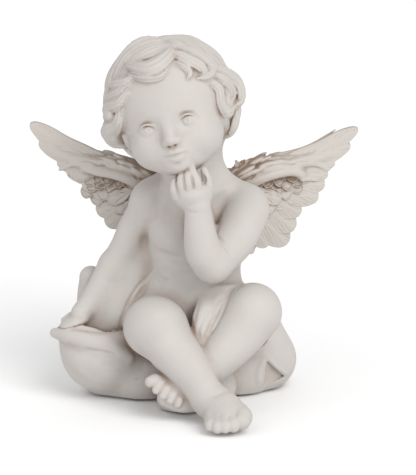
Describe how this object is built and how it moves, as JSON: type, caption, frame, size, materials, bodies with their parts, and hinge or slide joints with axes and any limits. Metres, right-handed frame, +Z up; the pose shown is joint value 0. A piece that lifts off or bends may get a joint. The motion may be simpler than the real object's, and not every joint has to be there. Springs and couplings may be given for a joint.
{
  "type": "angel figurine",
  "caption": "Seated winged child figurine in off-white cast resin, chin resting on one hand, on a draped seat with felt pads.",
  "frame": {"origin": "middle of the footprint's bounding box, on the surface that the felt pads stand on", "axes": "+Z up, -Y the way the child faces, +X towards the child's left side"},
  "size_m": [0.1382, 0.112, 0.1602],
  "materials": {
    "cast_resin": "matte off-white cast resin with a faint warm wash in the creases",
    "washed_resin": "matte off-white cast resin with a brown antique wash",
    "felt": "self-adhesive felt"
  },
  "bodies": {
    "root": {"child_figure": "cast_resin", "seat_drape": "cast_resin", "wing_left": "washed_resin", "wing_right": "washed_resin", "felt_pad_1": "felt", "felt_pad_2": "felt", "felt_pad_3": "felt", "felt_pad_4": "felt"}
  },
  "joints": []
}
